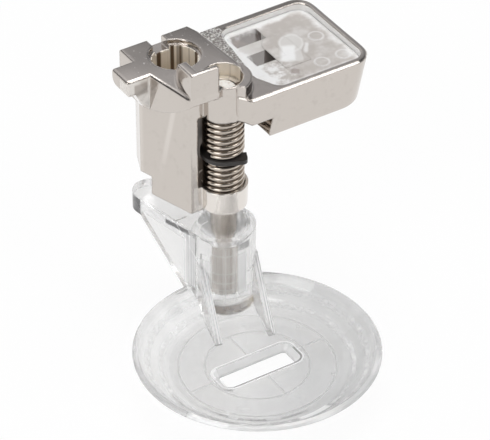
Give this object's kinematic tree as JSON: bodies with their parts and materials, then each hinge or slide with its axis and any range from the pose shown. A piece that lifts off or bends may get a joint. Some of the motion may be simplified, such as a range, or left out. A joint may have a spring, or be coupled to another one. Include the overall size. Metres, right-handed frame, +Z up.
{
  "type": "sewing machine presser foot",
  "caption": "Presser foot with a clear saucer sole on a sprung pin, a plated shank with a presser bar socket and a side arm that carries a clear coded block.",
  "frame": {"origin": "needle point: centre of the needle slot on the underside of the sole", "axes": "+X along the needle slot to the right of a person at the machine, +Y to the back of the machine, +Z up along the presser bar"},
  "size_m": [0.0398, 0.0437, 0.0399],
  "materials": {
    "plated_metal": "bright nickel plate on a casting",
    "clear_block": "clear moulding",
    "pin_steel": "ground steel",
    "spring_steel": "drawn wire",
    "black_clip": "blackened spring steel",
    "clear_sole": "clear moulding"
  },
  "bodies": {
    "shank_body": {"shank": "plated_metal", "coded_block": "clear_block", "upper_spring": "spring_steel", "lower_spring": "spring_steel"},
    "sole_body": {"sole": "clear_sole", "plunger_pin": "pin_steel", "stop_ring": "black_clip"}
  },
  "joints": [
    {"name": "sole_slide", "type": "slide", "parent": "shank_body", "child": "sole_body", "axis": [0, 0, 1], "range_m": [-0.0015, 0.0015], "stiffness_N_per_m": 4000, "deforming": ["upper_spring", "lower_spring"]}
  ]
}
